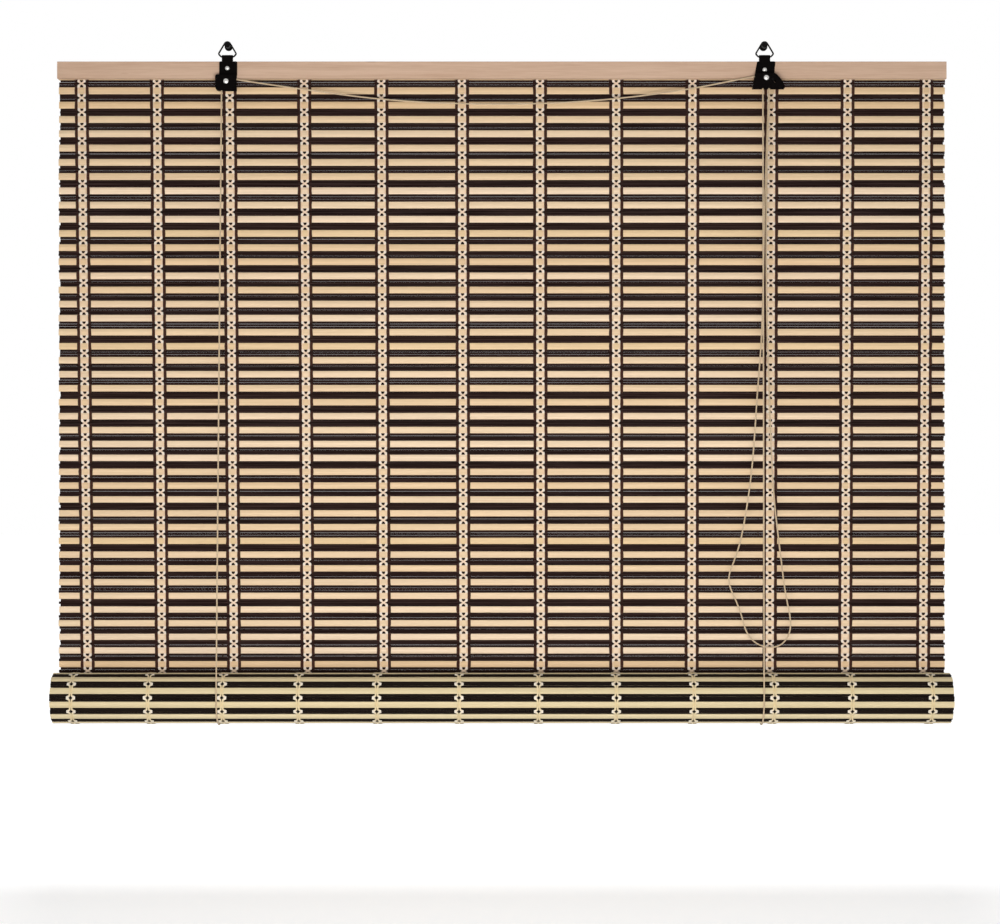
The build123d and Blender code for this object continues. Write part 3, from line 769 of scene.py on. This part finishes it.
def back_pale_route(share, side):
    """Close together over each slat and wide apart round the middle of each dark band."""
    route = []

    def step(z, spread_share, lift, tone):
        aside = side * back_spread(spread_share) + CHANCE.uniform(-PALE_STRAY, PALE_STRAY)
        route.append(((column_x(share, z) + aside, BACK + lift, z), BACKWARD, tone))

    for row in range(ROWS + 1):
        middle, upper, lower = slat_lines(row)
        step(upper - BACK_INSET, *BACK_EDGE)
        step(middle, *BACK_OVER)
        step(lower + BACK_INSET, *BACK_EDGE)
        if row < ROWS:
            for down_share in BACK_LOOP_SHARES:
                step(lower - down_share * BAND, *BACK_LOOP)
    return route


pale_front = Piece()
pale_back = Piece()
dark_front = Piece()
for share in COLUMN_SHARES:
    for side in (-1, 1):
        lay_yarn(pale_front, front_pale_route(share, side), PALE_WIDTH)
        lay_yarn(pale_back, back_pale_route(share, side), BACK_WIDTH)
        lay_yarn(dark_front, dark_route(share, side), DARK_WIDTH)
front_yarns = pale_front.make("pale_front_yarns", pale_yarn, "blind")
back_yarns = pale_back.make("pale_back_yarns", pale_yarn, "blind")
dark_yarns = dark_front.make("dark_front_yarns", dark_yarn, "blind")
for number in range(1, len(COLUMN_SHARES) + 1):
    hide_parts(f"pale_warp_{number:02d}")
    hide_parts(f"pale_warp_{number:02d}")
    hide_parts(f"dark_warp_{number:02d}")
for piece in (front_yarns, back_yarns, dark_yarns):
    hang(piece)


# Roll

SEAM_STICKS = 1
ROLL_STEPS = 8
ROLL_STICK_RAGGED = 1.4
ROLL_STICK_DRIFT = 0.12
ROLL_SLAT_RAGGED = 0.8
ROLL_SLAT_DRIFT = 0.1
SLIM_SHARES = (0.92, 0.98)
ROLL_YARN_WIDTH = 3.0
ROLL_YARN_ROWS = 10

# A yarn on the roll in a band and where it closes towards a slat: share of the opening, lift, tone
ROLL_LOOP = (0.95, 0.5, 1.0)
ROLL_LOOP_SHARES = (0.57, 0.43)
ROLL_CLOSE = (0.16, 0.5, 0.2)
ROLL_CLOSE_SHARE = 0.2


def turn_radius(half_turn):
    return ROLL_RADIUS - half_turn * LAYER / 2


def roll_place(run):
    """Middle, outward and onward directions, in Y and Z, after this run of mat from the seam."""
    half_turn = 0
    while half_turn < HALF_TURNS - 1 and run > math.pi * turn_radius(half_turn):
        run -= math.pi * turn_radius(half_turn)
        half_turn += 1
    radius = turn_radius(half_turn)
    angle = -run / radius - math.pi * half_turn
    centre = ROLL_Y - LAYER / 2 * (half_turn % 2)
    out = (math.cos(angle), math.sin(angle))
    onward = (math.sin(angle), -math.cos(angle))
    return (centre + radius * out[0], ROLL_Z + radius * out[1]), out, onward


ROLL_LENGTH = sum(math.pi * turn_radius(number) for number in range(HALF_TURNS))
FIRST_SLAT = STICK_PITCH - BITE + SLAT_BOTTOM / 2
roll_slats = Piece()
roll_sticks = Piece()
row = 0
while FIRST_SLAT + row * ROLL_PITCH + SLAT_BOTTOM / 2 < ROLL_LENGTH:
    middle = FIRST_SLAT + row * ROLL_PITCH
    for number in range(STICKS_PER_BAND if row else SEAM_STICKS):
        run = middle - SLAT_BOTTOM / 2 - STICK_HIGH / 2 + SLAT_ROUNDING - number * STICK_PITCH
        ends = strip_ends(ROLL_STICK_RAGGED)
        profile = stick_profile(STICK_HIGH * CHANCE.uniform(*SLIM_SHARES))
        lay_strip(
            roll_sticks, profile, roll_place(run), CHANCE.random(), ends, ROLL_STICK_DRIFT, ROLL_STEPS,
        )
    ends = strip_ends(ROLL_SLAT_RAGGED)
    profile = slat_profile(SLAT_BOTTOM - 2 * SLAT_ROUNDING)
    lay_strip(
        roll_slats, profile, roll_place(middle), CHANCE.random(), ends, ROLL_SLAT_DRIFT, ROLL_STEPS,
    )
    row += 1
rolled_slats = roll_slats.make("rolled_slats", roll_cane, "roll")
rolled_sticks = roll_sticks.make("rolled_sticks", roll_dark_cane, "roll")
for piece in (rolled_slats, rolled_sticks):
    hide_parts("rolled_mat")


def roll_column(share):
    """On the roll, the columns lie further left and a little further apart."""
    return column_foot(share) * (1 + ROLL_SPREAD_SHARE) - ROLL_SHIFT


def roll_yarn_route(share, side):
    """The weave of the mat's back, over the outermost turn."""
    route = []

    def step(run, spread_share, lift, tone):
        (y, z), out, _ = roll_place(run)
        height = SLAT_DEEP / 2 + lift
        x = roll_column(share) + side * back_spread(spread_share) + CHANCE.uniform(-PALE_STRAY, PALE_STRAY)
        route.append(((x, y + out[0] * height, z + out[1] * height), (0, out[0], out[1]), tone))

    edge = SLAT_BOTTOM / 2
    for row in range(ROLL_YARN_ROWS):
        middle = FIRST_SLAT + row * ROLL_PITCH
        if row:
            for back_share in ROLL_LOOP_SHARES:
                step(middle - edge - back_share * BAND, *ROLL_LOOP)
        step(middle - edge - ROLL_CLOSE_SHARE * BAND, *ROLL_CLOSE)
        step(middle, *BACK_OVER)
        step(middle + edge + ROLL_CLOSE_SHARE * BAND, *ROLL_CLOSE)
    return route


yarns = Piece()
for share in COLUMN_SHARES:
    for side in (-1, 1):
        lay_yarn(yarns, roll_yarn_route(share, side), ROLL_YARN_WIDTH)
rolled_yarns = yarns.make("rolled_yarns", roll_yarn, "roll")
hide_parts("roll_warp_yarns")


# Cords

CORD = 2.0
CORD_SIDES = 10
CORD_TONE = 0.5
CORD_FACING = (0.0, -1.0, 0.35)
CORD_SMOOTHNESS = 8
STRAIGHT_LEAD = 6 * CORD
WHEEL_LEAD = 1.0
JOINT_GAP = 0.1
SLING_CLEARANCE = 0.3
KNOT_Z = -35.0
HOOK_SPACING = 737.0

# The wheels as X, Z and the radius of the cord's line, and the depths of the cords on them
PULLEY = (-369.5, -50.7, 6.4)
WHEEL = (369.7, -46.5, 4.5)
PULLEY_Y = -21.2
INNER_Y = -20.8
OUTER_Y = -24.6
WHEEL_POINTS = 2
SLING_POINTS = 8

# Angles of a wheel's left and right side
LEFT_SIDE = 180
RIGHT_SIDE = 0

LEFT_CORD_X = PULLEY[0] - PULLEY[2]
RIGHT_CORD_X = WHEEL[0] - WHEEL[2]
PULL_CORD_X = WHEEL[0] + WHEEL[2]
LEFT_LEAD = PULLEY[1] - WHEEL_LEAD - JOINT_GAP
RIGHT_LEAD = WHEEL[1] - WHEEL_LEAD - JOINT_GAP
LEFT_LEAN = 0.7
RIGHT_LEAN = 4.2
SLING_RADIUS = math.hypot(ROLL_RADIUS + SLAT_DEEP / 2, SLAT_BOTTOM / 2) + SLING_CLEARANCE + CORD / 2
ROLL_RING = (ROLL_Y, ROLL_Z, SLING_RADIUS)

# Lengths of the cords in metres
LEFT_LIFT_LENGTH = 0.840
RIGHT_LIFT_LENGTH = 0.844

# The cross cord's sag: shares of the hook spacing, and drops
CROSS_SHARES = [
    -0.485, -0.415, -0.345, -0.28, -0.215, -0.14, -0.065, 0.01,
    0.085, 0.155, 0.222, 0.296, 0.366, 0.423, 0.475,
]
CROSS_DROPS = [
    48.0, 55.6, 62.8, 69.4, 75.0, 79.0, 81.2, 81.9,
    81.0, 78.4, 74.4, 68.0, 60.2, 52.2, 44.2,
]
CROSS_ROUTE = [(share * HOOK_SPACING, -drop) for share, drop in zip(CROSS_SHARES, CROSS_DROPS)]

# The pull cord's loop, down and up again
PULL_ROUTE = [
    (373.6, -72.0), (371.8, -112.0), (369.8, -162.0), (368.2, -218.0), (367.0, -274.0),
    (366.2, -330.0), (364.6, -384.0), (361.8, -432.0), (357.6, -482.0), (354.2, -538.0),
    (350.0, -588.0), (343.6, -634.0), (335.4, -680.0), (326.0, -708.0), (318.6, -726.0),
    (319.4, -742.0), (328.0, -760.0), (336.4, -782.0), (341.8, -804.0), (354.0, -820.0),
    (373.0, -827.0), (391.6, -823.0), (402.6, -807.0), (403.6, -787.0), (398.2, -762.0),
    (393.6, -734.0), (389.6, -700.0), (384.6, -660.0), (380.0, -616.0), (377.4, -568.0),
    (375.2, -518.0), (373.8, -468.0), (371.8, -418.0), (370.6, -366.0), (370.0, -310.0),
    (369.8, -254.0), (370.4, -198.0), (371.4, -146.0), (373.0, -100.0), (373.8, -66.0),
]


def round_wheel(wheel, start, end, count):
    """Points of a cord's route round a wheel, between two angles in degrees."""
    x, z, radius = wheel
    turn = (end - start) / count
    reach = radius / math.cos(math.radians(turn / 2))
    points = []
    for number in range(count):
        angle = math.radians(start + (number + 0.5) * turn)
        points.append((x + reach * math.cos(angle), z + reach * math.sin(angle)))
    return points


def touching(wheel, point, side):
    """Angle at which a straight cord from a point touches a wheel."""
    x, z, radius = wheel
    away = math.hypot(point[0] - x, point[1] - z)
    return math.degrees(math.atan2(point[1] - z, point[0] - x) + side * math.acos(radius / away))


def cord_line(points):
    """Points along the smooth line of a cord's route, in metres."""
    curve = bpy.data.curves.new("cord_line", "CURVE")
    curve.dimensions = "3D"
    curve.resolution_u = CORD_SMOOTHNESS
    spline = curve.splines.new("NURBS")
    spline.points.add(len(points) - 1)
    for target, point in zip(spline.points, points):
        target.co = (point[0] * MM, point[1] * MM, point[2] * MM, 1.0)
    spline.order_u = 3
    spline.use_endpoint_u = True
    line = bpy.data.objects.new("cord_line", curve)
    mesh = bpy.data.meshes.new_from_object(line)
    route = [vertex.co.copy() for vertex in mesh.vertices]
    bpy.data.objects.remove(line)
    bpy.data.meshes.remove(mesh)
    bpy.data.curves.remove(curve)
    return route


def make_cord(name, points, body):
    """A laid cord of round section in the place of the plain one of the same name."""
    route = cord_line(points)
    piece = Piece()
    lay_yarn(piece, [(point / MM, CORD_FACING, CORD_TONE) for point in route], CORD, CORD, CORD_SIDES)
    cord = piece.make(name + "_laid", cord_yarn, body)
    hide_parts(name)
    return cord


def shorten(cord):
    """A cord gets a mesh of its own."""
    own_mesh(cord)


def cross_points():
    """From the left pulley, over it, along the sag and over the lock wheel."""
    flat = [(LEFT_CORD_X, PULLEY[1] - WHEEL_LEAD)]
    flat += round_wheel(PULLEY, LEFT_SIDE, touching(PULLEY, CROSS_ROUTE[0], 1), WHEEL_POINTS)
    flat += CROSS_ROUTE
    flat += round_wheel(WHEEL, touching(WHEEL, CROSS_ROUTE[-1], -1), RIGHT_SIDE, WHEEL_POINTS)
    flat.append((PULL_CORD_X, WHEEL[1] - WHEEL_LEAD))
    step = (INNER_Y - PULLEY_Y) / HOOK_SPACING
    return [(x, PULLEY_Y + (x + HOOK_SPACING / 2) * step, z) for x, z in flat]


def pull_points():
    """From the wheel's inner groove round the loop and up to its outer groove."""
    flat = [(PULL_CORD_X, RIGHT_LEAD)] + PULL_ROUTE + [(PULL_CORD_X, RIGHT_LEAD)]
    step = (OUTER_Y - INNER_Y) / (len(flat) - 1)
    return [(x, INNER_Y + number * step, z) for number, (x, z) in enumerate(flat)]


def roll_front(y, z):
    """Angle in degrees, and point in Y and Z, where a cord from above touches the front of the roll."""
    angle = touching(ROLL_RING, (y, z), 1)
    turn = math.radians(angle)
    return angle, (ROLL_Y + SLING_RADIUS * math.cos(turn), ROLL_Z + SLING_RADIUS * math.sin(turn))


def lift_points(x, foot_x, y, z):
    """A taut run from a bracket to the front of the roll."""
    _, touch = roll_front(y, z)
    head = Vector((x, y, z))
    foot = Vector((foot_x, *touch))
    step = (foot - head).normalized() * STRAIGHT_LEAD
    return [head, head + step, foot - step, foot]


def sling_points(x, y, z):
    """Under the roll from its front to its rear."""
    angle, touch = roll_front(y, z)
    flat = [touch]
    flat += round_wheel(ROLL_RING, angle, FULL_TURN, SLING_POINTS)
    flat.append((ROLL_Y + SLING_RADIUS, ROLL_Z))
    return [(x, point_y, point_z) for point_y, point_z in flat]


def rear_points(x):
    """Straight up behind the mat to the knot."""
    heights = (ROLL_Z, ROLL_Z + STRAIGHT_LEAD, KNOT_Z - STRAIGHT_LEAD, KNOT_Z)
    return [(x, ROLL_Y + SLING_RADIUS, z) for z in heights]


make_cord("cross_cord", cross_points(), "blind")
pull = make_cord("pull_cord", pull_points(), "blind")
shorten(pull)
for side, x, lean, y, z, length in (
    ("left", LEFT_CORD_X, LEFT_LEAN, PULLEY_Y, LEFT_LEAD, LEFT_LIFT_LENGTH),
    ("right", RIGHT_CORD_X, RIGHT_LEAN, OUTER_Y, RIGHT_LEAD, RIGHT_LIFT_LENGTH),
):
    foot_x = x - lean
    points = lift_points(x, foot_x, y, z)
    lift = make_cord(side + "_lift_cord", points, "blind")
    shorten(lift)
    make_cord(side + "_sling", sling_points(foot_x, y, z), "slings")
    rear = make_cord(side + "_rear_cord", rear_points(foot_x), "blind")
    shorten(rear)


# Stage, light and camera, in metres

FLOOR_REACH = 14.0
FLOOR_Z = -1.12
FLOOR_TONE = 0.9
LIGHT_TINT = (0.95, 0.97, 1.0, 1.0)
LIGHT_STRENGTH = 0.25

# The floor glows more with its distance, so that it is white far off and keeps a shadow close by
GLOW_RANGE = {"From Min": 2.0, "From Max": 4.5, "To Min": 0.5, "To Max": 0.82}

# Each lamp's name, place, aim, size, power and colour
LAMPS = (
    ("key", (-0.42, -2.0, -0.82), (0.0, 0.0, -0.78), (0.9, 0.5), 17.4, (1.0, 0.98, 0.96)),
    ("fill", (0.42, -2.0, -0.86), (0.0, 0.0, -0.78), (0.9, 0.5), 18.0, (0.98, 0.99, 1.0)),
    ("rear", (0.0, 2.2, 1.4), (0.0, 0.0, -0.6), (2.0, 0.9), 45.0, (1.0, 1.0, 1.0)),
)
CAMERA_PLACE = (0.0055, -3.206, -0.572)
CAMERA_TURN = (math.radians(90), 0.0, 0.0)
CAMERA_LENS = 83.7
SENSOR_WIDTH = 36.0


def place_in_scene(name, data):
    thing = bpy.data.objects.new(name, data)
    bpy.context.scene.collection.objects.link(thing)
    return thing


def flat_light(name, place, aim, size, power, colour):
    data = bpy.data.lights.new(name, "AREA")
    data.shape = "RECTANGLE"
    data.size, data.size_y = size
    data.energy = power
    data.color = colour
    lamp = place_in_scene(name, data)
    lamp.location = place
    lamp.rotation_mode = "QUATERNION"
    lamp.rotation_quaternion = (Vector(aim) - Vector(place)).to_track_quat("-Z", "Y")


def seen_rays(tree):
    """1 for what is seen directly, in a reflection or through glass, and 0 for light on things."""
    rays = add(tree, "ShaderNodeLightPath")
    value = rays.outputs["Is Camera Ray"]
    for kind in ("Is Glossy Ray", "Is Transmission Ray"):
        either = add(tree, "ShaderNodeMath", operation="MAXIMUM")
        link(tree, value, either.inputs[0])
        link(tree, rays.outputs[kind], either.inputs[1])
        value = either.outputs["Value"]
    return value


def make_floor():
    mesh = bpy.data.meshes.new("floor")
    corners = [(-1, -1), (1, -1), (1, 1), (-1, 1)]
    points = [(x * FLOOR_REACH, y * FLOOR_REACH, FLOOR_Z) for x, y in corners]
    mesh.from_pydata(points, [], [(0, 1, 2, 3)])
    material, tree, shader = start_material("floor", roughness=0.9, specular=0.1)
    shader.inputs["Base Color"].default_value = grey(FLOOR_TONE)
    shader.inputs["Emission Color"].default_value = WHITE
    away = add(tree, "ShaderNodeVectorMath", operation="LENGTH")
    link(tree, add(tree, "ShaderNodeNewGeometry").outputs["Position"], away.inputs[0])
    pale = add(tree, "ShaderNodeMapRange")
    for key, value in GLOW_RANGE.items():
        pale.inputs[key].default_value = value
    link(tree, away.outputs["Value"], pale.inputs["Value"])
    glow = add(tree, "ShaderNodeMath", operation="MULTIPLY")
    link(tree, seen_rays(tree), glow.inputs[0])
    link(tree, pale.outputs["Result"], glow.inputs[1])
    link(tree, glow.outputs["Value"], shader.inputs["Emission Strength"])
    mesh.materials.append(material)
    place_in_scene("floor", mesh)


def make_world():
    """Plain soft light, and white where nothing else is seen."""
    world = bpy.data.worlds.new("studio")
    bpy.context.scene.world = world
    world.use_nodes = True
    tree = world.node_tree
    soft = tree.nodes["Background"]
    soft.inputs["Color"].default_value = LIGHT_TINT
    soft.inputs["Strength"].default_value = LIGHT_STRENGTH
    white = add(tree, "ShaderNodeBackground")
    white.inputs["Color"].default_value = WHITE
    white.inputs["Strength"].default_value = 1.0
    choose = add(tree, "ShaderNodeMixShader")
    link(tree, seen_rays(tree), choose.inputs["Fac"])
    link(tree, soft.outputs["Background"], choose.inputs[1])
    link(tree, white.outputs["Background"], choose.inputs[2])
    link(tree, choose.outputs["Shader"], tree.nodes["World Output"].inputs["Surface"])


make_floor()
make_world()
for lamp in LAMPS:
    flat_light(*lamp)

camera_data = bpy.data.cameras.new("camera")
camera_data.sensor_width = SENSOR_WIDTH
camera_data.lens = CAMERA_LENS
camera = place_in_scene("camera", camera_data)
camera.location = CAMERA_PLACE
camera.rotation_euler = CAMERA_TURN
bpy.context.scene.camera = camera
bpy.context.scene.view_settings.view_transform = "Standard"
